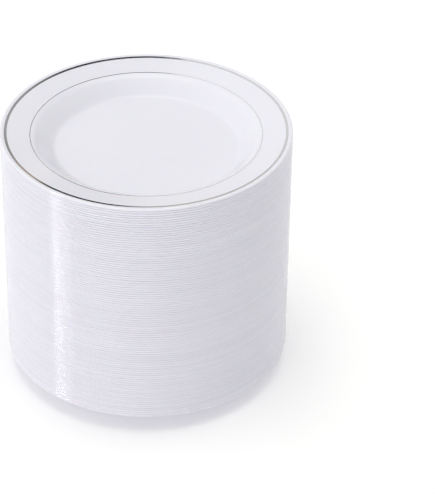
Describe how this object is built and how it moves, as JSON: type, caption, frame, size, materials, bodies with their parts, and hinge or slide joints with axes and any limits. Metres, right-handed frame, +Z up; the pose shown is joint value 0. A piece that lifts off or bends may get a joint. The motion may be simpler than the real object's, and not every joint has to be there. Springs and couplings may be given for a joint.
{
  "type": "stack of plastic dinner plates",
  "caption": "Tall stack of nested round white plastic dinner plates, each with a silver foil band near its rim and a fine silver line round its well.",
  "frame": {"origin": "on the table, under the centre of the bottom plate", "axes": "+Z up along the axis of the stack, +X to the right and +Y to the back as the picture shows it"},
  "size_m": [0.26, 0.26, 0.2423],
  "materials": {
    "white_plastic": "gloss",
    "silver_foil": "polished"
  },
  "bodies": {
    "root": {"plate_01": "white_plastic", "plate_02": "white_plastic", "plate_03": "white_plastic", "plates_04_05": "white_plastic", "plates_06_07": "white_plastic", "plates_08_09": "white_plastic", "plates_10_11": "white_plastic", "plates_12_13": "white_plastic", "plates_14_15": "white_plastic", "plates_16_17": "white_plastic", "plates_18_19": "white_plastic", "plates_20_21": "white_plastic", "plates_22_23": "white_plastic", "plates_24_25": "white_plastic", "plates_26_27": "white_plastic", "plates_28_29": "white_plastic", "plates_30_31": "white_plastic", "plates_32_33": "white_plastic", "plates_34_35": "white_plastic", "plates_36_37": "white_plastic", "plates_38_39": "white_plastic", "plates_40_41": "white_plastic", "plates_42_43": "white_plastic", "plates_44_45": "white_plastic", "plates_46_47": "white_plastic", "plates_48_49": "white_plastic", "plates_50_51": "white_plastic", "plates_52_53": "white_plastic", "plates_54_55": "white_plastic", "plates_56_57": "white_plastic", "plates_58_59": "white_plastic", "plates_60_61": "white_plastic", "plates_62_63": "white_plastic", "plates_64_65": "white_plastic", "plates_66_67": "white_plastic", "plates_68_69": "white_plastic", "plates_70_71": "white_plastic", "plates_72_73": "white_plastic", "plates_74_75": "white_plastic", "plates_76_77": "white_plastic", "plates_78_79": "white_plastic", "plates_80_81": "white_plastic", "plates_82_83": "white_plastic", "plates_84_85": "white_plastic", "plates_86_87": "white_plastic", "plate_88": "white_plastic", "plate_89": "white_plastic", "plate_90": "white_plastic", "plate_91": "white_plastic", "plate_92": "white_plastic", "plate_93": "white_plastic", "plate_94": "white_plastic", "plate_95": "white_plastic", "plate_96": "white_plastic", "rim_band_top": "silver_foil", "inner_line_top": "silver_foil", "rim_bands_below": "silver_foil", "inner_lines_below": "silver_foil"}
  },
  "joints": []
}
